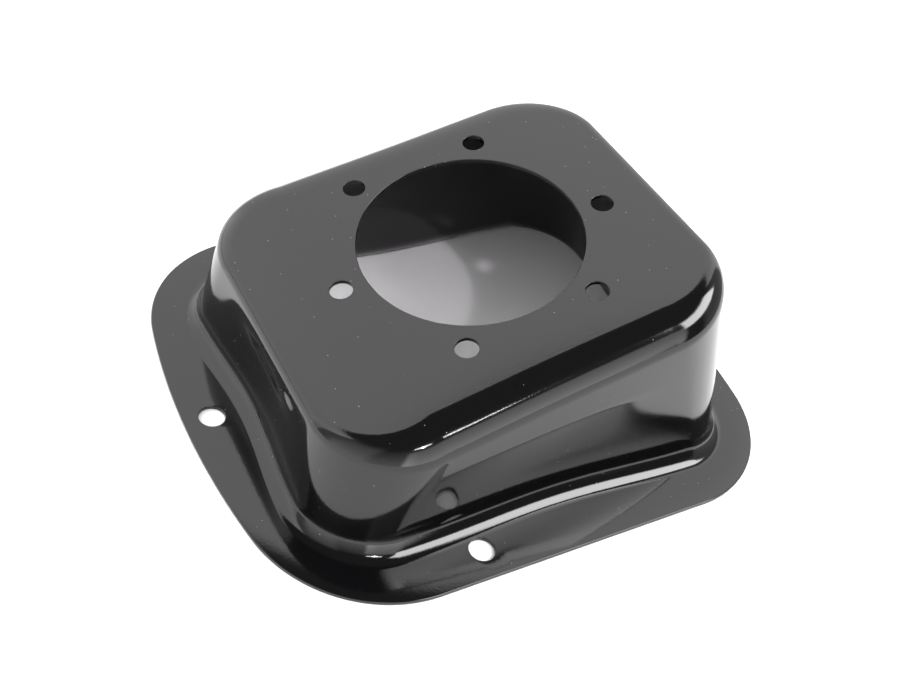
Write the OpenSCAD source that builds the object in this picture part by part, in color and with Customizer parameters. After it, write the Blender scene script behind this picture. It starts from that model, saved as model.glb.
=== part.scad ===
// Flanged sheet-metal housing: one deep-drawn pressing, open underneath.
// A flat flange carries a box whose top slants down towards one end. The top has one large
// round opening with a ring of six screw holes, one of them moved so that what is screwed
// on fits one way only.
// Frame: the origin is the middle of the flange's underside, +X points to the tall end and
// +Z points up, away from the surface that the flange is fixed to. Millimetres.

/* [Sheet] */
// Thickness of the sheet
sheet = 1.2; // [0.8:0.1:1.6]

/* [Flange] */
// Length over the middle of the arched ends
flange_length = 171; // [168:1:190]
// Width over the two straight sides
flange_width = 142; // [140:1:160]
// How far each end is arched outward beyond its straight chord
end_arch = 11.5; // [6:0.5:14]
// Radius of the flange's corners
flange_corner_r = 39; // [28:1:44]

/* [Box] */
// Length of the box where it meets the flange
base_length = 137.5; // [130:0.5:140]
// Width of the box where it meets the flange
base_width = 108.5; // [100:0.5:110]
// Radius of the box's corners at the flange
base_corner_r = 19; // [14:0.5:24]
// Radius of the concave bend between flange and wall
base_bend_r = 5; // [2:0.5:6]
// How far the foot of each side wall bows inward midway, as a drawn wall springs back
side_bow = 2; // [0:0.5:3]
// How far the foot of each end wall bows inward midway
end_bow = 3; // [0:0.5:4]
// Lean of the two side walls, inward from upright
side_lean = 1.5; // [0.5:0.5:4]
// Lean of the wall at the low end
low_end_lean = 4.5; // [2:0.5:10]
// Lean of the wall at the tall end, which stands nearly square to the slanted top
tall_end_lean = 18; // [10:0.5:20]

/* [Slanted top] */
// Height of the top's outer face above the mounting face, over the origin
top_height = 50.5; // [44:0.5:60]
// Slope of the top, rising towards +X
top_slope = 16; // [0:0.5:18]
// Radius of the top's corners, seen from above
top_corner_r = 24.5; // [18:0.5:28]
// Outer radius of the bend between wall and top
top_edge_r = 4.5; // [3:0.5:6]

/* [Opening and screw ring] */
// Diameter of the large round opening
opening_d = 63.5; // [50:0.5:66]
// Middle of the opening, measured level from the origin along X
opening_x = -6; // [-7:0.5:-3]
// Middle of the opening, measured from the origin along Y
opening_y = 4; // [0:0.5:4]
// Diameter of the circle that the six screw holes lie on
ring_d = 78.4; // [74:0.1:80]
// Diameter of each screw hole
screw_d = 6.4; // [4:0.1:7]
// Angle by which the screw hole nearest the tall end is moved, so that the ring is keyed
key_shift = -10; // [-12:1:0]

/* [Fixing holes in the flange] */
// Diameter of each fixing hole
fixing_d = 7.2; // [5:0.1:8]
// Distance from the origin to the hole at each end
end_hole_reach = 77.5; // [76.5:0.5:79]
// Place of the end holes across the flange
end_hole_y = 2; // [-10:0.5:10]
// Distance from the origin to the hole at each side
side_hole_reach = 62.5; // [62:0.5:64]
// Place of the side holes along the flange
side_hole_x = -27.5; // [-35:0.5:35]

/* [Hidden] */

corner_steps = 10;    // facets round a quarter corner
side_steps = 12;       // facets along each side, for the arched ends and the bowed walls
bend_steps = 5;       // facets across each bend
quarter = 90;         // degrees that each corner turns
half_turn = 180;
screw_count = 6;
ring_step = 360 / screw_count;
drill_reach = 20;     // length of every drill, well through the sheet
hole_facets = 96;

// The flange's ends are arcs of one large radius, tangent to the corner arcs.
half_width = flange_width / 2;
end_r = (half_width * half_width + end_arch * end_arch) / (2 * end_arch);
end_mid_x = flange_length / 2 - end_r;
corner_y = half_width - flange_corner_r;
corner_x = end_mid_x + sqrt(pow(end_r - flange_corner_r, 2) - corner_y * corner_y);
corner_from = atan2(corner_y, corner_x - end_mid_x);

rise = tan(top_slope);
top_normal = [-sin(top_slope), 0, cos(top_slope)];

// Height of a plane with the top's slope, where it passes `lift` over the origin.
function slant(x, lift) = lift + x * rise;

function unit(v) = v / norm(v);
function turned(angle) = [cos(angle), sin(angle), 0];
function square_to(v, along) = unit(v - along * (v * along));
function between(a, b, k, steps) = a + (b - a) * k / steps;

// One corner of an outline followed by the side after it, as a list of [point, outward normal].
function corner_arc(centre, r, from, to) =
    [for (k = [0:corner_steps]) let (n = turned(between(from, to, k, corner_steps))) [centre + r * n, n]];
function straight(a, b, normal, bow = 0) =
    [for (k = [1:side_steps - 1])
        [between(a, b, k, side_steps) - bow * pow(sin(half_turn * k / side_steps), 2) * normal, normal]
    ];

// A rectangle with round corners, from the corner at high X and high Y, counter-clockwise. Its
// long and short sides may bow inward midway.
function rounded_box(low_x, high_x, half_y, r, long_bow = 0, short_bow = 0) =
    let (
        x = [high_x - r, low_x + r, low_x + r, high_x - r],
        y = [half_y - r, half_y - r, r - half_y, r - half_y],
        middle = [for (i = [0:3]) [x[i], y[i], 0]]
    )
    [for (i = [0:3])
        let (from = i * quarter, to = from + quarter, next = middle[(i + 1) % 4])
        each concat(
            corner_arc(middle[i], r, from, to),
            straight(middle[i] + r * turned(to), next + r * turned(to), turned(to),
                i % 2 == 0 ? long_bow : short_bow)
        )
    ];

// The flange's outline, with as many points as rounded_box gives and in the same order.
function end_side(sign) =
    [for (k = [1:side_steps - 1])
        let (n = turned(between(corner_from, -corner_from, k, side_steps)))
        [[-sign * (end_mid_x + end_r * n[0]), sign * end_r * n[1], 0], -sign * n]
    ];
function flange_half(sign) = concat(
    corner_arc([sign * corner_x, sign * corner_y, 0], flange_corner_r,
        sign > 0 ? corner_from : 180 + corner_from, sign > 0 ? quarter : 180 + quarter),
    straight([sign * corner_x, sign * half_width, 0], [-sign * corner_x, sign * half_width, 0], [0, sign, 0]),
    corner_arc([-sign * corner_x, sign * corner_y, 0], flange_corner_r,
        sign > 0 ? quarter : 180 + quarter, sign > 0 ? 180 - corner_from : 360 - corner_from),
    end_side(sign)
);
flange_outline = concat(flange_half(1), flange_half(-1));
count = len(flange_outline);

// An arc of radius r that is tangent to two directions leaving one sharp edge point.
function bend(edge, first, second, r) =
    let (
        angle = acos(first * second),
        reach = r / tan(angle / 2),
        middle = edge + unit(first + second) * r / sin(angle / 2),
        a = edge + first * reach - middle,
        b = edge + second * reach - middle,
        turn = 180 - angle
    )
    [for (k = [0:bend_steps])
        let (s = k / bend_steps)
        middle + (sin((1 - s) * turn) * a + sin(s * turn) * b) / sin(turn)
    ];

// How far the foot of a wall moves in when its whole face moves in by `inset`.
function foot_inset(inset, lean) = inset * tan((quarter - lean) / 2);

// One skin of the sheet, `inset` inside the outer one: for each point round it, the bend from
// the top to the wall and then the bend from the wall to the flange. The top's outline is where
// the leaning walls meet the slanted plane, so it is narrower at the tall end.
function skin(inset) =
    let (
        foot_z = sheet - inset,
        lift = top_height - inset / cos(top_slope),
        climb = lift - foot_z,
        half_length = base_length / 2,
        low_foot = half_length - foot_inset(inset, low_end_lean),
        tall_foot = half_length - foot_inset(inset, tall_end_lean),
        side_foot = base_width / 2 - foot_inset(inset, side_lean),
        low_x = (climb * tan(low_end_lean) - low_foot) / (1 - rise * tan(low_end_lean)),
        tall_x = (tall_foot - climb * tan(tall_end_lean)) / (1 + rise * tan(tall_end_lean)),
        side_y = side_foot - climb * tan(side_lean),
        narrowing = rise * tan(side_lean) / side_y,
        base = rounded_box(-low_foot, tall_foot, side_foot, base_corner_r - inset, side_bow, end_bow),
        top = rounded_box(low_x, tall_x, side_y, top_corner_r - inset)
    )
    [for (i = [0:count - 1])
        let (
            n = top[i][1],
            x = top[i][0][0],
            y = top[i][0][1],
            width_left = 1 - narrowing * x,
            foot = base[i][0] + [0, 0, foot_z],
            edge = [x, y * width_left, slant(x, lift)],
            along_base = [-n[1], n[0], 0],
            along_top = unit([-n[1], n[0] * width_left + n[1] * y * narrowing, -n[1] * rise]),
            wall = edge - foot
        )
        concat(
            bend(edge, cross(top_normal, along_top), -square_to(wall, along_top), top_edge_r - inset),
            bend(foot, square_to(wall, along_base), n, base_bend_r + inset)
        )
    ];

// The closed sheet as rings of points: down the outside, round the flange's rim, up the inside.
function sheet_rings() =
    let (outer = skin(0), inner = skin(sheet), last = 2 * bend_steps + 1)
    concat(
        [for (k = [0:last]) [for (i = [0:count - 1]) outer[i][k]]],
        [for (z = [sheet, 0]) [for (p = flange_outline) p[0] + [0, 0, z]]],
        [for (k = [last:-1:0]) [for (i = [0:count - 1]) inner[i][k]]]
    );

module pressed_sheet() {
    rings = sheet_rings();
    last = len(rings) - 1;
    walls = [for (r = [0:last - 1], i = [0:count - 1])
        let (a = r * count + i, b = r * count + (i + 1) % count)
        each [[a, b, b + count], [a, b + count, a + count]]
    ];
    // each cap is listed from the middle of a corner, so that no fan of triangles has a flat one
    order = [for (i = [0:count - 1]) (i + corner_steps / 2) % count];
    caps = [[for (i = [count - 1:-1:0]) order[i]], [for (i = order) last * count + i]];
    polyhedron([for (r = rings) each r], concat(caps, walls));
}

module drill(d) {
    cylinder(h = drill_reach, d = d, center = true, $fn = hole_facets);
}

// Places its children at the middle of the opening, square to the slanted top.
module on_top() {
    translate([opening_x, opening_y, slant(opening_x, top_height)])
        rotate([0, -top_slope, 0])
            children();
}

module top_holes() {
    on_top() drill(opening_d);
    for (k = [0:screw_count - 1])
        on_top()
            rotate([0, 0, k * ring_step + (k == 0 ? key_shift : 0)])
                translate([ring_d / 2, 0, 0])
                    drill(screw_d);
}

module fixing_holes() {
    for (side = [-1, 1]) {
        translate([side * end_hole_reach, end_hole_y, 0]) drill(fixing_d);
        translate([side_hole_x, side * side_hole_reach, 0]) drill(fixing_d);
    }
}

module housing() {
    color([0.06, 0.06, 0.065])
        difference() {
            pressed_sheet();
            top_holes();
            fixing_holes();
        }
}

housing();
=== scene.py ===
"""Looks of a flanged sheet-metal housing: one deep-drawn steel pressing in gloss black paint.

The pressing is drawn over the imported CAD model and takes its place, in the same frame: the origin
is the middle of the flange's underside, +X points to the tall end and +Z up. Metres and radians.
"""

import math

import bpy
import numpy as np
from bpy.props import FloatProperty, FloatVectorProperty, IntProperty, PointerProperty
from bpy.types import Operator, Panel, PropertyGroup
from mathutils import Matrix, Vector


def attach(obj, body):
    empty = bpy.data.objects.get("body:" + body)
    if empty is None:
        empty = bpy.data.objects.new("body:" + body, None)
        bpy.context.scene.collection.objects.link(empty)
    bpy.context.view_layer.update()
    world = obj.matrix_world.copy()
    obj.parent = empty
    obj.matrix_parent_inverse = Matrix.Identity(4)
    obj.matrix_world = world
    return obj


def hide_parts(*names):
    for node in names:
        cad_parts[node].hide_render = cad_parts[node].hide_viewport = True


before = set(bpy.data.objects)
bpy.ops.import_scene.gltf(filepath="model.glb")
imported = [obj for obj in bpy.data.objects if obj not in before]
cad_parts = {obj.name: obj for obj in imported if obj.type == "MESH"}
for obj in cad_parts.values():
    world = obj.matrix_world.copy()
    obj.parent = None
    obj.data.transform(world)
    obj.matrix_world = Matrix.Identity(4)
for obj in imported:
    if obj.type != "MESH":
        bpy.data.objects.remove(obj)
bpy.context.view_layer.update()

bl_info = {
    "name": "Pressed housing",
    "version": (1, 0, 0),
    "blender": (4, 5, 0),
    "location": "3D View > Sidebar > Housing",
    "description": "Builds a deep-drawn sheet-metal housing in gloss black paint, and a studio for it",
    "category": "Object",
}

MM = 0.001


def linear(hex_colour):
    """An sRGB colour such as "#c0ffee" as linear red, green and blue."""
    parts = [int(hex_colour[i : i + 2], 16) / 255 for i in (1, 3, 5)]
    return [c / 12.92 if c <= 0.04045 else ((c + 0.055) / 1.055) ** 2.4 for c in parts]


def length(name, millimetres, about):
    """A setting that holds a length in metres, given here in millimetres."""
    return FloatProperty(
        name=name, description=about, default=millimetres * MM, subtype="DISTANCE", unit="LENGTH"
    )


def angle(name, degrees, about):
    """A setting that holds an angle in radians, given here in degrees."""
    return FloatProperty(
        name=name, description=about, default=math.radians(degrees), subtype="ANGLE", unit="ROTATION"
    )


def share(name, value, about):
    """A setting between 0 and 1."""
    return FloatProperty(name=name, description=about, default=value, min=0, max=1, subtype="FACTOR")


def strength(name, value, about):
    """A setting that holds how bright a light is."""
    return FloatProperty(name=name, description=about, default=value, min=0)


def colour(name, hex_colour, about):
    """A setting that holds a colour, given here in sRGB."""
    return FloatVectorProperty(name=name, description=about, default=linear(hex_colour), subtype="COLOR")


class SheetSizes(PropertyGroup):
    """Sizes of the pressing. They repeat the CAD part's own, apart from the finer bends and bows."""

    sheet: length("Sheet", 1.2, "Thickness of the sheet")
    flange_length: length("Flange length", 171, "Length over the middle of the arched ends")
    flange_width: length("Flange width", 142, "Width over the two straight sides")
    end_arch: length("End arch", 11.5, "How far each end is arched beyond its chord")
    flange_corner: length("Flange corner", 39, "Radius of the flange's corners")
    base_length: length("Base length", 137.5, "Length of the box where it meets the flange")
    base_width: length("Base width", 108.5, "Width of the box where it meets the flange")
    base_corner: length("Base corner", 19, "Radius of the box's corners at the flange")
    base_bend: length("Base bend", 5, "Radius of the bend between flange and wall, at the ends")
    side_bend: length("Side base bend", 6, "Radius of the same bend along the two sides")
    side_bow: length("Side bow", 2, "How far the foot of each side wall bows inward")
    end_bow: length("End bow", 2.4, "How far the foot of each end wall bows inward")
    side_lean: angle("Side lean", 1.5, "Lean of the two side walls")
    low_lean: angle("Low end lean", 4.5, "Lean of the wall at the low end")
    tall_lean: angle("Tall end lean", 18, "Lean of the wall at the tall end")
    top_height: length("Top height", 50.5, "Height of the slanted top over the origin")
    top_slope: angle("Top slope", 16, "Slope of the top, rising towards +X")
    top_corner: length("Top corner", 24.5, "Radius of the top's corners")
    top_edge: length("Top edge", 4.5, "Outer radius of the bend between wall and top")
    side_roll: length("Side roll", 5.5, "How much further that bend rolls into the top at the sides")
    front_drop: length("Front drop", 3.5, "How much further that bend reaches down the side at low Y")
    band: share("Band", 0.26, "Share of a side wall's height above its bow")
    top_bow: length("Top bow", 0.3, "How far the top's two long edges bow inward midway")
    rim_edge: length("Rim edge", 0.3, "Softness of the flange's blanked and painted rim")


class HoleSizes(PropertyGroup):
    """Sizes and places of the punched holes."""

    opening: length("Opening", 63.5, "Diameter of the large round opening")
    opening_x: length("Opening X", -6, "Middle of the opening along X")
    opening_y: length("Opening Y", 4, "Middle of the opening along Y")
    ring: length("Screw ring", 78.4, "Diameter of the circle that the screw holes lie on")
    screw: length("Screw hole", 6.4, "Diameter of each screw hole")
    screw_count: IntProperty(name="Screw holes", description="Screw holes in the ring", default=6, min=3)
    key_shift: angle("Key shift", -10, "Turn of the one screw hole that keys the ring")
    fixing: length("Fixing hole", 7.2, "Diameter of each fixing hole in the flange")
    end_reach: length("End hole reach", 77.5, "Distance from the origin to the hole at each end")
    end_y: length("End hole Y", 2, "Place of the end holes across the flange")
    side_reach: length("Side hole reach", 62.5, "Distance from the origin to the hole at each side")
    side_x: length("Side hole X", -27.5, "Place of the side holes along the flange")
    edge: length("Hole edge", 0.25, "Radius of the punched edge under its paint")


class PaintLook(PropertyGroup):
    """The gloss black paint and what has settled on it."""

    paint: colour("Paint", "#070708", "Colour of the paint")
    dust: colour("Dust", "#8c8a86", "Colour of the dust")
    roughness: share("Roughness", 0.08, "Roughness of the bare paint")
    grain: length("Peel grain", 0.7, "Spacing of the fine orange peel")
    grain_height: length("Peel grain height", 0.006, "Height of the fine orange peel")
    wave: length("Peel wave", 3.2, "Spacing of the long waves in the paint")
    wave_height: length("Peel wave height", 0.0035, "Height of the long waves")
    dust_spacing: length("Dust spacing", 2.2, "Mean spacing of the dust specks")
    dust_size: length("Dust size", 0.13, "Radius of a speck, drawn coarse enough to show")


class StudioLook(PropertyGroup):
    """The floor and the lights. A brightness of 1 is as bright as the air behind the stage."""

    floor: colour("Floor", "#e8e8e8", "Colour of the floor")
    key: strength("Key light", 14, "Brightness of the high soft box, as the paint mirrors it")
    strip: strength("Strip", 30, "Brightness of the thin strip round the lamp, as the paint mirrors it")
    lamp: strength("Lamp", 0.6, "Strength of the small lamp in front")
    lamp_size: angle("Lamp size", 3, "How wide the lamp looks from the housing")
    lamp_colour: colour("Lamp colour", "#fdf0ff", "Colour of the small lamp")
    sweep: strength("Sweep", 2.0, "Brightness of the white sweep behind and beside")
    front: strength("Front box", 3.6, "Brightness of the soft box in front")
    room: strength("Room", 0.12, "Brightness of the dim room")
    fill: strength("Fill", 1.0, "Even light that fills the shade, which the paint doesn't mirror")


# Steps in each corner, side, bend, wall and edge of the rim
CORNER_STEPS = 36
SIDE_STEPS = 44
BEND_STEPS = 22
WALL_STEPS = 30
RIM_STEPS = 5

BOW_SHARE = 0.5  # share of a wall's height over which its bow comes in
BOW_FADE = 3  # how fast the sides' own bend and bow fade out round a corner
ROLL_FADE = 1.5  # how fast the sides' wider roll fades out round a corner
SHARP_ANGLE = math.radians(12)  # edges that turn more than this are shaded sharp

PUNCH_ROWS = 23
PUNCH_TIP = 1.2 * MM  # how far a punch runs on past its flare
FLARE_END = math.radians(84)  # how far round its arc the flare goes
FLARE_MEETS = math.radians(68)  # where on that arc it crosses the sheet's face
OPENING_FACETS = 256
SCREW_FACETS = 64
FIXING_FACETS = 72


def unit(v):
    return v / np.linalg.norm(v, axis=-1, keepdims=True)


def dot(a, b):
    return (a * b).sum(axis=-1, keepdims=True)


def turned(angles):
    return np.stack([np.cos(angles), np.sin(angles), np.zeros_like(angles)], axis=-1)


def eased(steps):
    """Fractions from 0 to 1, finest at both ends, so that a bend leaves a flat with no jump in shade."""
    return 0.5 - 0.5 * np.cos(np.linspace(0, np.pi, steps + 1))


def rounded_box(low_x, high_x, half_y, r, long_bow=0.0, short_bow=0.0):
    """Points and outward normals of a rectangle with round corners, counter-clockwise from high X, high Y."""
    x_middles = (high_x - r, low_x + r, low_x + r, high_x - r)
    y_middles = (half_y - r, half_y - r, r - half_y, r - half_y)
    centres = list(zip(x_middles, y_middles))
    points, normals = [], []
    for i, (x, y) in enumerate(centres):
        arc = turned(math.pi / 2 * (i + np.linspace(0, 1, CORNER_STEPS + 1)))
        middle = np.array([x, y, 0.0])
        after = np.array([*centres[(i + 1) % 4], 0.0])
        n = arc[-1]
        s = np.linspace(0, 1, SIDE_STEPS + 1)[1:-1, None]
        bow = (short_bow if i % 2 else long_bow) * np.sin(np.pi * s) ** 2
        points += [middle + r * arc, middle + r * n + (after - middle) * s - bow * n]
        normals += [arc, np.repeat(n[None], len(s), axis=0)]
    return np.vstack(points), np.vstack(normals)


def flange_outline(z):
    """The flange's outline with arched ends, as many points as rounded_box gives and in the same order."""
    half, r = z.flange_width / 2, z.flange_corner
    end_r = (half**2 + z.end_arch**2) / (2 * z.end_arch)
    end_x = z.flange_length / 2 - end_r
    corner_y = half - r
    corner_x = end_x + math.sqrt((end_r - r) ** 2 - corner_y**2)
    start = math.atan2(corner_y, corner_x - end_x)
    points, normals = [], []
    for side in (1, -1):
        turn = 0 if side > 0 else math.pi
        first = turned(turn + np.linspace(start, math.pi / 2, CORNER_STEPS + 1))
        second = turned(turn + np.linspace(math.pi / 2, math.pi - start, CORNER_STEPS + 1))
        s = np.linspace(0, 1, SIDE_STEPS + 1)[1:-1]
        a = np.array([side * corner_x, side * corner_y, 0.0])
        b = np.array([-side * corner_x, side * corner_y, 0.0])
        end = turned(turn + math.pi + np.linspace(-start, start, SIDE_STEPS + 1)[1:-1])
        points += [a + r * first, a + r * first[-1] + (b - a) * s[:, None], b + r * second]
        points += [np.array([-side * end_x, 0.0, 0.0]) + end_r * end]
        normals += [first, np.repeat(first[-1:], len(s), axis=0), second, end]
    return np.vstack(points), np.vstack(normals)


def bend(edge, first, second, first_r, second_r):
    """Rings of an elliptical arc that leaves each sharp edge point along two directions.

    With two equal radii it is a round arc; a larger one draws its end out into a gentler roll.
    """
    half = np.arccos(np.clip(dot(first, second), -1, 1)) / 2
    a = edge + first * first_r / np.tan(half)
    b = edge + second * second_r / np.tan(half)
    rings = []
    for s in eased(BEND_STEPS):
        weights = (1 - s) ** 2, 2 * s * (1 - s) * np.sin(half), s**2
        rings.append((weights[0] * a + weights[1] * edge + weights[2] * b) / sum(weights))
    return rings


def square_to(v, along):
    return unit(v - along * dot(v, along))


def skin(z, inset):
    """Rings of one skin of the sheet, inset inside the outer one: top bend, wall, base bend."""
    rise = math.tan(z.top_slope)
    foot_z = z.sheet - inset
    lift = z.top_height - inset / math.cos(z.top_slope)
    climb = lift - foot_z

    def foot_inset(lean):
        return inset * math.tan((math.pi / 2 - lean) / 2)

    low = z.base_length / 2 - foot_inset(z.low_lean)
    tall = z.base_length / 2 - foot_inset(z.tall_lean)
    side = z.base_width / 2 - foot_inset(z.side_lean)
    low_x = (climb * math.tan(z.low_lean) - low) / (1 - rise * math.tan(z.low_lean))
    tall_x = (tall - climb * math.tan(z.tall_lean)) / (1 + rise * math.tan(z.tall_lean))
    side_y = side - climb * math.tan(z.side_lean)
    narrowing = rise * math.tan(z.side_lean) / side_y

    straight_foot, _ = rounded_box(-low, tall, side, z.base_corner - inset)
    foot, n = rounded_box(-low, tall, side, z.base_corner - inset, z.side_bow, z.end_bow)
    edge, _ = rounded_box(low_x, tall_x, side_y, z.top_corner - inset, z.top_bow)
    along_base = np.stack([-n[:, 1], n[:, 0], 0 * n[:, 0]], axis=-1)
    width_left = 1 - narrowing * edge[:, 0]
    across = n[:, 0] * width_left + n[:, 1] * edge[:, 1] * narrowing
    along_top = unit(np.stack([-n[:, 1], across, -n[:, 1] * rise], axis=-1))
    edge = np.stack([edge[:, 0], edge[:, 1] * width_left, lift + edge[:, 0] * rise], axis=-1)
    foot[:, 2] = straight_foot[:, 2] = foot_z
    bow = foot - straight_foot
    wall = edge - straight_foot
    top_normal = np.array([-math.sin(z.top_slope), 0.0, math.cos(z.top_slope)])
    faces_y = n[:, 1:2]
    on_side = np.abs(faces_y) ** BOW_FADE
    roll_r = z.top_edge + z.side_roll * np.abs(faces_y) ** ROLL_FADE
    drop_r = z.top_edge + z.front_drop * np.maximum(0, -faces_y) ** ROLL_FADE
    base_r = z.base_bend + (z.side_bend - z.base_bend) * on_side
    into_top = np.cross(top_normal, along_top)
    upper = bend(edge, into_top, -square_to(wall, along_top), roll_r - inset, drop_r - inset)
    lower = bend(foot, square_to(wall, along_base), n, base_r + inset, base_r + inset)
    walls = []
    for s in np.linspace(0, 1, WALL_STEPS + 1)[1:-1]:
        # the bow starts at the top of an end wall, and below a straight band on a side wall
        in_by = np.clip((s - z.band * on_side) / BOW_SHARE, 0, 1)
        smooth, creased = in_by * in_by * (3 - 2 * in_by), in_by * (2 - in_by)
        eased_in = smooth + (creased - smooth) * on_side
        walls.append(upper[-1] * (1 - s) + (lower[0] - bow) * s + bow * eased_in)
    return upper + walls + lower


def pressed_sheet(z):
    """The whole sheet before it is punched, as points and faces of one closed mesh."""
    outer, inner = skin(z, 0.0), skin(z, z.sheet)
    outline, n = flange_outline(z)
    up = np.array([0.0, 0.0, 1.0])
    over, under = [], []
    for a in np.linspace(0, math.pi / 2, RIM_STEPS + 1):
        ring = outline - n * z.rim_edge * (1 - math.sin(a))
        drop = z.rim_edge * (1 - math.cos(a))
        over.append(ring + up * (z.sheet - drop))
        under.append(ring + up * drop)
    rings = outer + over + under[::-1] + inner[::-1]
    count = len(outline)
    faces = [list(range(count))]
    for start in range(0, (len(rings) - 1) * count, count):
        for i in range(count):
            a, b = start + i, start + (i + 1) % count
            faces.append([a + count, b + count, b, a])
    faces.append([(len(rings) - 1) * count + i for i in reversed(range(count))])
    return np.vstack(rings), faces


def node(tree, kind, links=None, values=None, **settings):
    """Adds a node with its settings, links into it and sets the values of its sockets, by name or number."""
    made = tree.nodes.new(kind)
    for name, value in settings.items():
        setattr(made, name, value)
    # of the sockets that share a name, the first one in use counts
    live = {socket.name: socket for socket in reversed(made.inputs) if socket.enabled}
    for key, source in (links or {}).items():
        tree.links.new(source, made.inputs[key] if isinstance(key, int) else live[key])
    for key, value in (values or {}).items():
        (made.inputs[key] if isinstance(key, int) else live[key]).default_value = value
    return made


def black_paint(look):
    """Gloss black enamel, sprayed and baked on pressed steel.

    The eye gets a nearly black mirror. Orange peel frays the edges of what it mirrors, long waves
    bend the highlights a little, and a few dust specks catch the light.
    """
    speck_core = 0.6  # share of a speck's radius that is full dust
    bare_cells = 0.6  # share of the cells that have no speck
    dust_roughness = 0.9
    material = bpy.data.materials.new("gloss_black_baked_paint_on_steel")
    material.use_nodes = True
    tree = material.node_tree
    tree.nodes.clear()
    place = node(tree, "ShaderNodeTexCoord").outputs["Object"]

    # orange peel: fine grain over long waves
    grain = node(tree, "ShaderNodeTexNoise", {"Vector": place}, {"Scale": 1 / look.grain, "Detail": 1.5})
    wave = node(tree, "ShaderNodeTexNoise", {"Vector": place}, {"Scale": 1 / look.wave, "Detail": 1.0})
    long_wave = node(tree, "ShaderNodeBump", {"Height": wave.outputs[0]}, {"Distance": look.wave_height})
    peel = node(tree, "ShaderNodeBump", {"Height": grain.outputs[0], "Normal": long_wave.outputs[0]},
                {"Distance": look.grain_height})

    # dust: one speck in some cells of a loose pattern, larger than real dust so that it shows
    cells = node(tree, "ShaderNodeTexVoronoi", {"Vector": place}, {"Scale": 1 / look.dust_spacing})
    reach = look.dust_size / look.dust_spacing
    speck = node(tree, "ShaderNodeMapRange", {"Value": cells.outputs["Distance"]},
                 {"From Min": reach, "From Max": reach * speck_core})
    dice = node(tree, "ShaderNodeSeparateColor", {"Color": cells.outputs["Color"]})
    chosen = node(tree, "ShaderNodeMath", {0: dice.outputs[0]}, {1: bare_cells}, operation="GREATER_THAN")
    dusty = node(tree, "ShaderNodeMath", {0: speck.outputs[0], 1: chosen.outputs[0]}, operation="MULTIPLY")
    film = node(tree, "ShaderNodeMix", {"Factor": dusty.outputs[0]},
                {"A": (*look.paint, 1), "B": (*look.dust, 1)}, data_type="RGBA")
    dull = node(tree, "ShaderNodeMapRange", {"Value": dusty.outputs[0]},
                {"To Min": look.roughness, "To Max": dust_roughness})

    surface = {"Base Color": film.outputs["Result"], "Roughness": dull.outputs[0], "Normal": peel.outputs[0]}
    shader = node(tree, "ShaderNodeBsdfPrincipled", surface, {"IOR": 1.5})
    node(tree, "ShaderNodeOutputMaterial", {"Surface": shader.outputs[0]})
    return material


def mesh_from(name, points, faces, material):
    """A new object in the scene, at the origin, with its place in its mesh."""
    mesh = bpy.data.meshes.new(name)
    mesh.from_pydata([tuple(p) for p in points], [], faces)
    mesh.materials.append(material)
    mesh.validate()
    piece = bpy.data.objects.new(name, mesh)
    bpy.context.scene.collection.objects.link(piece)
    return piece


class HOUSING_OT_pressing(Operator):
    """Draws the pressing, punches its holes and paints it"""

    bl_idname = "housing.pressing"
    bl_label = "Pressing"

    def execute(self, context):
        z = context.scene.sheet_sizes
        points, faces = pressed_sheet(z)
        piece = mesh_from("pressing", points, faces, black_paint(context.scene.paint_look))
        punch(piece, z, context.scene.hole_sizes)
        piece.data.shade_smooth()
        piece.data.set_sharp_from_angle(angle=SHARP_ANGLE)
        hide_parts("housing")
        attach(piece, "root")
        return {"FINISHED"}


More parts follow.
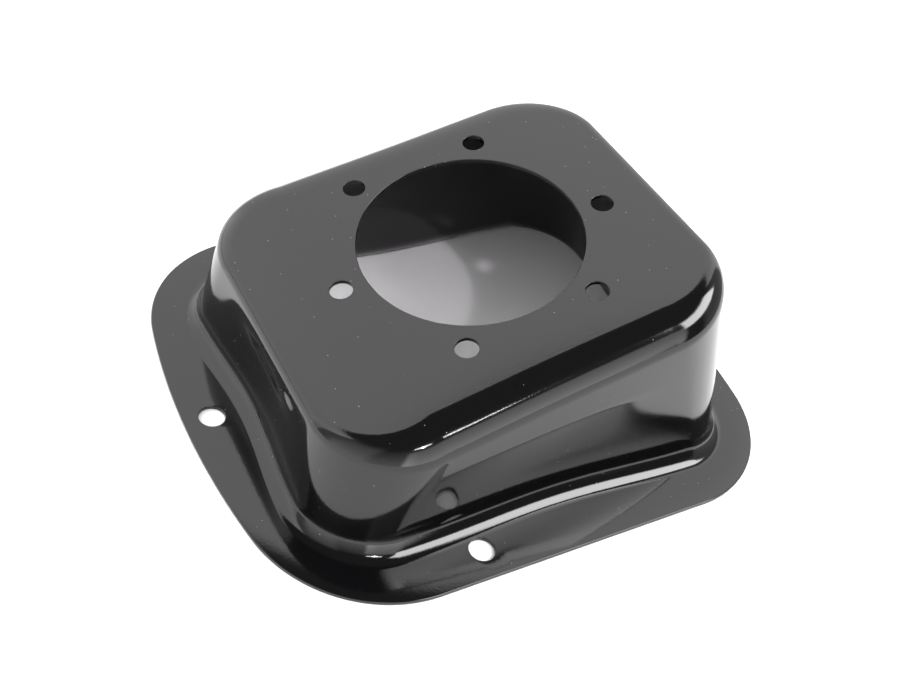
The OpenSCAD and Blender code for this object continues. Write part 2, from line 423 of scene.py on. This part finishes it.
def punch_shape(tree, given, radius, facets):
    """A punch whose two ends flare by the edge radius, so that it leaves a soft edge on both faces."""
    blank = node(tree, "GeometryNodeMeshCylinder",
                 values={"Vertices": facets, "Side Segments": PUNCH_ROWS, "Radius": 1, "Depth": 2})
    at = node(tree, "ShaderNodeSeparateXYZ", {0: node(tree, "GeometryNodeInputPosition").outputs[0]}).outputs
    along = node(tree, "ShaderNodeMath", {0: at[2]}, operation="ABSOLUTE")
    side = node(tree, "ShaderNodeMath", {0: at[2]}, operation="SIGN")
    row = 1 / PUNCH_ROWS
    turn = node(tree, "ShaderNodeMapRange", {"Value": along.outputs[0]},
                {"From Min": row, "From Max": 1 - 2 * row, "To Max": FLARE_END})
    tip = node(tree, "ShaderNodeMapRange", {"Value": along.outputs[0]},
               {"From Min": 1 - row, "To Max": PUNCH_TIP})
    half = node(tree, "ShaderNodeMath", {0: given["Sheet"]}, {1: 0.5}, operation="MULTIPLY")

    # each row's height: up the flare's arc, which crosses the sheet's face, and then the tip
    sine = node(tree, "ShaderNodeMath", {0: turn.outputs[0]}, operation="SINE")
    crest = node(tree, "ShaderNodeMath", {0: sine.outputs[0]}, {1: math.sin(FLARE_MEETS)},
                 operation="SUBTRACT")
    arc = node(tree, "ShaderNodeMath", {0: crest.outputs[0], 1: given["Edge"], 2: half.outputs[0]},
               operation="MULTIPLY_ADD")
    reach = node(tree, "ShaderNodeMath", {0: arc.outputs[0], 1: tip.outputs[0]}, operation="ADD")
    high = node(tree, "ShaderNodeMath", {0: reach.outputs[0], 1: side.outputs[0]}, operation="MULTIPLY")

    # its width: the hole's radius, widened along the same arc
    cosine = node(tree, "ShaderNodeMath", {0: turn.outputs[0]}, operation="COSINE")
    flare = node(tree, "ShaderNodeMath", {1: cosine.outputs[0]}, {0: 1}, operation="SUBTRACT")
    wide = node(tree, "ShaderNodeMath", {0: flare.outputs[0], 1: given["Edge"], 2: radius},
                operation="MULTIPLY_ADD")
    x = node(tree, "ShaderNodeMath", {0: at[0], 1: wide.outputs[0]}, operation="MULTIPLY")
    y = node(tree, "ShaderNodeMath", {0: at[1], 1: wide.outputs[0]}, operation="MULTIPLY")
    moved = node(tree, "ShaderNodeCombineXYZ", {0: x.outputs[0], 1: y.outputs[0], 2: high.outputs[0]})
    shaped = node(tree, "GeometryNodeSetPosition",
                  {"Geometry": blank.outputs["Mesh"], "Position": moved.outputs[0]})
    return shaped.outputs[0]


def punching_tree():
    """A tree that punches the opening, its ring of screw holes and the fixing holes out of a sheet."""
    tree = bpy.data.node_groups.new("punched_holes", "GeometryNodeTree")
    face = tree.interface
    face.new_socket("Blank", in_out="INPUT", socket_type="NodeSocketGeometry")
    for name in ("Sheet", "Edge", "Opening radius", "Ring radius", "Screw radius", "Key shift", "Top slope",
                 "Fixing radius", "End reach", "End Y", "Side reach", "Side X"):
        face.new_socket(name, in_out="INPUT", socket_type="NodeSocketFloat")
    face.new_socket("Opening place", in_out="INPUT", socket_type="NodeSocketVector")
    face.new_socket("Screw count", in_out="INPUT", socket_type="NodeSocketInt")
    face.new_socket("Finish", in_out="INPUT", socket_type="NodeSocketMaterial")
    face.new_socket("Geometry", in_out="OUTPUT", socket_type="NodeSocketGeometry")
    given = node(tree, "NodeGroupInput").outputs

    # the ring of screw holes, its first hole turned by the key shift
    ring = node(tree, "GeometryNodeMeshCircle",
                {"Vertices": given["Screw count"], "Radius": given["Ring radius"]})
    first = node(tree, "FunctionNodeCompare", {2: node(tree, "GeometryNodeInputIndex").outputs[0]},
                 data_type="INT", operation="EQUAL")
    spun = node(tree, "ShaderNodeVectorRotate",
                {"Vector": node(tree, "GeometryNodeInputPosition").outputs[0], "Angle": given["Key shift"]},
                rotation_type="Z_AXIS")
    keyed = node(tree, "GeometryNodeSetPosition",
                 {"Geometry": ring.outputs[0], "Selection": first.outputs[0], "Position": spun.outputs[0]})
    screw = punch_shape(tree, given, given["Screw radius"], SCREW_FACETS)
    screws = node(tree, "GeometryNodeInstanceOnPoints", {"Points": keyed.outputs[0], "Instance": screw})

    # the opening with its ring, laid on the slanted top
    opening = punch_shape(tree, given, given["Opening radius"], OPENING_FACETS)
    top = node(tree, "GeometryNodeJoinGeometry", {0: opening})
    tree.links.new(screws.outputs[0], top.inputs[0])
    tilt = node(tree, "ShaderNodeMath", {0: given["Top slope"]}, {1: -1}, operation="MULTIPLY")
    turn = node(tree, "ShaderNodeCombineXYZ", {1: tilt.outputs[0]})
    place = {"Translation": given["Opening place"], "Rotation": turn.outputs[0]}
    laid = node(tree, "GeometryNodeTransform", {"Geometry": top.outputs[0], **place})

    # a pair of fixing holes at the ends and a pair at the sides
    fixing = punch_shape(tree, given, given["Fixing radius"], FIXING_FACETS)
    half = node(tree, "ShaderNodeMath", {0: given["Sheet"]}, {1: 0.5}, operation="MULTIPLY").outputs[0]
    low_end, low_side = (
        node(tree, "ShaderNodeMath", {0: given[reach]}, {1: -1}, operation="MULTIPLY").outputs[0]
        for reach in ("End reach", "Side reach")
    )
    punches = node(tree, "GeometryNodeJoinGeometry", {0: laid.outputs[0]})
    pairs = (
        ((low_end, given["End Y"]), (given["End reach"], given["End Y"])),
        ((given["Side X"], low_side), (given["Side X"], given["Side reach"])),
    )
    for (x0, y0), (x1, y1) in pairs:
        start = node(tree, "ShaderNodeCombineXYZ", {0: x0, 1: y0, 2: half})
        end = node(tree, "ShaderNodeCombineXYZ", {0: x1, 1: y1, 2: half})
        ends = {"Start Location": start.outputs[0], "Offset": end.outputs[0]}
        line = node(tree, "GeometryNodeMeshLine", ends, {"Count": 2}, mode="END_POINTS")
        pair = node(tree, "GeometryNodeInstanceOnPoints", {"Points": line.outputs[0], "Instance": fixing})
        tree.links.new(pair.outputs[0], punches.inputs[0])

    solid = node(tree, "GeometryNodeRealizeInstances", {"Geometry": punches.outputs[0]})
    cut = node(tree, "GeometryNodeMeshBoolean", {0: given["Blank"], 1: solid.outputs[0]},
               operation="DIFFERENCE", solver="EXACT")
    real = node(tree, "GeometryNodeRealizeInstances", {"Geometry": cut.outputs["Mesh"]})
    painted = node(tree, "GeometryNodeSetMaterial",
                   {"Geometry": real.outputs[0], "Material": given["Finish"]})
    node(tree, "NodeGroupOutput", {0: painted.outputs[0]})
    return tree


def punch(piece, z, h):
    """Punches the holes and leaves the piece a plain mesh."""
    tree = punching_tree()
    modifier = piece.modifiers.new("punched holes", "NODES")
    modifier.node_group = tree
    rise = math.tan(z.top_slope)
    normal = Vector((-math.sin(z.top_slope), 0.0, math.cos(z.top_slope)))
    middle = Vector((h.opening_x, h.opening_y, z.top_height + h.opening_x * rise)) - normal * z.sheet / 2
    values = {
        "Sheet": z.sheet, "Edge": h.edge, "Opening radius": h.opening / 2, "Ring radius": h.ring / 2,
        "Screw radius": h.screw / 2, "Key shift": h.key_shift, "Top slope": z.top_slope,
        "Fixing radius": h.fixing / 2, "End reach": h.end_reach, "End Y": h.end_y,
        "Side reach": h.side_reach, "Side X": h.side_x, "Opening place": middle,
        "Screw count": h.screw_count, "Finish": piece.data.materials[0],
    }
    for item in tree.interface.items_tree:
        if item.in_out == "INPUT" and item.name in values:
            modifier[item.identifier] = values[item.name]
    depsgraph = bpy.context.evaluated_depsgraph_get()
    punched = bpy.data.meshes.new_from_object(piece.evaluated_get(depsgraph), depsgraph=depsgraph)
    piece.modifiers.clear()
    piece.data = punched
    punched.name = piece.name


# Panels of light by the strength that they share. Each has its middle azimuth, half width, lowest and
# highest elevation and softness of edge, in degrees, and its share of that strength at foot and crown.
PANELS = {
    "sweep": (
        (85, 72, -20, 57.5, 3, 0.5, 1.15),
        (122, 22, 8, 57.5, 10, 0.5, 0.0),
        (180, 26, -20, 52, 14, 0.3, 0.3),
        (-143, 36, -20, 44, 14, 0.75, 0.2),
        (-8, 24, -20, 48, 12, 0.25, 0.2),
    ),
    "front": ((-86, 19, -20, 42, 7, 1.0, 0.5),),
    "key": ((-34, 27, 43.5, 57.5, 5, 1.0, 1.0),),
    "strip": ((-92, 11, 53.6, 54.8, 1, 1.0, 1.0),),
}
ONLY_MIRRORED = ("key", "strip")  # seen in the paint, but they light no matt surface
LAMP = (-92, 54)  # azimuth and elevation of the lamp, in degrees

# The camera's azimuth and elevation from what it aims at and its roll, in degrees; lengths in millimetres
CAMERA = (-129.9214, 41.8746)
CAMERA_ROLL = 16.4986
CAMERA_AIM = (-10.84, -5.84, 20)
CAMERA_DISTANCE = 317.88
LENS = 44.52
SENSOR = 36
NEAREST = 10  # the camera sees nothing nearer than this
FLOOR_REACH = 3.0  # metres from the origin to each side of the floor


def towards(azimuth, elevation):
    """The direction that an azimuth from +X and an elevation give, both in degrees."""
    a, e = math.radians(azimuth), math.radians(elevation)
    return math.cos(e) * math.cos(a), math.cos(e) * math.sin(a), math.sin(e)


def add_panel(tree, light, flat, height, brightness, panel):
    """Adds one soft-edged panel to the light so far and returns the sum."""
    azimuth, *degrees, foot, crown = panel
    half, low, high, soft = (math.radians(v) for v in degrees)
    facing = node(tree, "ShaderNodeVectorMath", {0: flat}, {1: towards(azimuth, 0)}, operation="DOT_PRODUCT")
    across = node(tree, "ShaderNodeMapRange", {"Value": facing.outputs["Value"]},
                  {"From Min": math.cos(half + soft), "From Max": math.cos(half)},
                  interpolation_type="SMOOTHSTEP")
    over = node(tree, "ShaderNodeMapRange", {"Value": height},
                {"From Min": low - soft, "From Max": low}, interpolation_type="SMOOTHSTEP")
    under = node(tree, "ShaderNodeMapRange", {"Value": height},
                 {"From Min": high + soft, "From Max": high}, interpolation_type="SMOOTHSTEP")
    bright = node(tree, "ShaderNodeMapRange", {"Value": height},
                  {"From Min": max(0, low), "From Max": high, "To Min": foot * brightness,
                   "To Max": crown * brightness})
    tall = node(tree, "ShaderNodeMath", {0: over.outputs[0], 1: under.outputs[0]}, operation="MULTIPLY")
    whole = node(tree, "ShaderNodeMath", {0: tall.outputs[0], 1: across.outputs[0]}, operation="MULTIPLY")
    total = node(tree, "ShaderNodeMath", {0: whole.outputs[0], 1: bright.outputs[0], 2: light},
                 operation="MULTIPLY_ADD")
    return total.outputs[0]


def surround(tree, look):
    """How bright the studio is in each direction, as the gloss mirrors it and as it falls on matt things."""
    ray = node(tree, "ShaderNodeTexCoord").outputs["Generated"]
    level = node(tree, "ShaderNodeVectorMath", {0: ray}, {1: (1, 1, 0)}, operation="MULTIPLY")
    flat = node(tree, "ShaderNodeVectorMath", {0: level.outputs[0]}, operation="NORMALIZE").outputs[0]
    rise = node(tree, "ShaderNodeSeparateXYZ", {0: ray})
    height = node(tree, "ShaderNodeMath", {0: rise.outputs[2]}, operation="ARCSINE").outputs[0]
    mirrored = node(tree, "ShaderNodeValue").outputs[0]
    spread = node(tree, "ShaderNodeValue").outputs[0]
    mirrored.default_value = look.room
    spread.default_value = look.room + look.fill
    for name, panels in PANELS.items():
        for panel in panels:
            mirrored = add_panel(tree, mirrored, flat, height, getattr(look, name), panel)
            if name not in ONLY_MIRRORED:
                spread = add_panel(tree, spread, flat, height, getattr(look, name), panel)
    return mirrored, spread


def white_paper(look):
    """Uncoated white paper. The eye gets an even pale ground with no shine."""
    material = bpy.data.materials.new("matt_white_paper")
    material.use_nodes = True
    tree = material.node_tree
    tree.nodes.clear()
    shader = node(tree, "ShaderNodeBsdfPrincipled", values={"Base Color": (*look.floor, 1), "Roughness": 0.9})
    node(tree, "ShaderNodeOutputMaterial", {"Surface": shader.outputs[0]})
    return material


def studio_world(look):
    """A world that the camera sees as plain pale air, and that lights gloss and matt things apart."""
    world = bpy.data.worlds.new("studio")
    world.use_nodes = True
    tree = world.node_tree
    tree.nodes.clear()
    mirrored, spread = surround(tree, look)
    path = node(tree, "ShaderNodeLightPath").outputs
    light = node(tree, "ShaderNodeMix", {"Factor": path["Is Diffuse Ray"], "A": mirrored, "B": spread},
                 data_type="FLOAT")
    seen = node(tree, "ShaderNodeMix", {"Factor": path["Is Camera Ray"], "A": light.outputs[0]}, {"B": 1},
                data_type="FLOAT")
    air = node(tree, "ShaderNodeBackground", {"Strength": seen.outputs[0]}, {"Color": (1, 1, 1, 1)})
    node(tree, "ShaderNodeOutputWorld", {"Surface": air.outputs[0]})
    return world


def small_lamp(look):
    """The lamp in front, which throws the sharp light patch on the floor inside."""
    light = bpy.data.lights.new("lamp", "SUN")
    light.energy = look.lamp
    light.angle = look.lamp_size
    light.color = look.lamp_colour
    lamp = bpy.data.objects.new("lamp", light)
    lamp.matrix_world = Vector(towards(*LAMP)).to_track_quat("Z", "Y").to_matrix().to_4x4()
    return lamp


def aimed_camera():
    """The camera, which looks down on the housing from the low end, rolled about its line of sight."""
    view = bpy.data.cameras.new("camera")
    view.lens = LENS
    view.sensor_width = SENSOR
    view.clip_start = NEAREST * MM
    camera = bpy.data.objects.new("camera", view)
    back = Vector(towards(*CAMERA))
    place = (Vector(CAMERA_AIM) + back * CAMERA_DISTANCE) * MM
    turn = back.to_track_quat("Z", "Y").to_matrix().to_4x4()
    roll = Matrix.Rotation(math.radians(CAMERA_ROLL), 4, "Z")
    camera.matrix_world = Matrix.Translation(place) @ turn @ roll
    return camera


class HOUSING_OT_studio(Operator):
    """Lays the pale floor and sets the soft lights and the camera"""

    bl_idname = "housing.studio"
    bl_label = "Studio"

    def execute(self, context):
        scene = context.scene
        look = scene.studio_look
        corners = [(x * FLOOR_REACH, y * FLOOR_REACH, 0) for x, y in ((-1, -1), (1, -1), (1, 1), (-1, 1))]
        mesh_from("floor", corners, [[0, 1, 2, 3]], white_paper(look))
        scene.world = studio_world(look)
        scene.view_settings.view_transform = "Standard"
        scene.collection.objects.link(small_lamp(look))
        scene.camera = aimed_camera()
        scene.collection.objects.link(scene.camera)
        return {"FINISHED"}


class HOUSING_PT_panel(Panel):
    """Lists the pressing and the studio"""

    bl_idname = "HOUSING_PT_panel"
    bl_label = "Housing"
    bl_space_type = "VIEW_3D"
    bl_region_type = "UI"
    bl_category = "Housing"

    def draw(self, context):
        for operator, groups in STEPS.items():
            for name in groups:
                group = getattr(context.scene, name)
                for setting in group.bl_rna.properties.keys():
                    if setting not in ("rna_type", "name"):
                        self.layout.prop(group, setting)
            self.layout.operator(operator)


GROUPS = {
    "sheet_sizes": SheetSizes,
    "hole_sizes": HoleSizes,
    "paint_look": PaintLook,
    "studio_look": StudioLook,
}
STEPS = {
    "housing.pressing": ("sheet_sizes", "hole_sizes", "paint_look"),
    "housing.studio": ("studio_look",),
}
CLASSES = (*GROUPS.values(), HOUSING_OT_pressing, HOUSING_OT_studio, HOUSING_PT_panel)


def register():
    for c in CLASSES:
        bpy.utils.register_class(c)
    for name, group in GROUPS.items():
        setattr(bpy.types.Scene, name, PointerProperty(type=group))


def unregister():
    for name in GROUPS:
        delattr(bpy.types.Scene, name)
    for c in reversed(CLASSES):
        bpy.utils.unregister_class(c)


def main():
    register()
    bpy.ops.housing.pressing()
    bpy.ops.housing.studio()


if __name__ == "__main__":
    main()
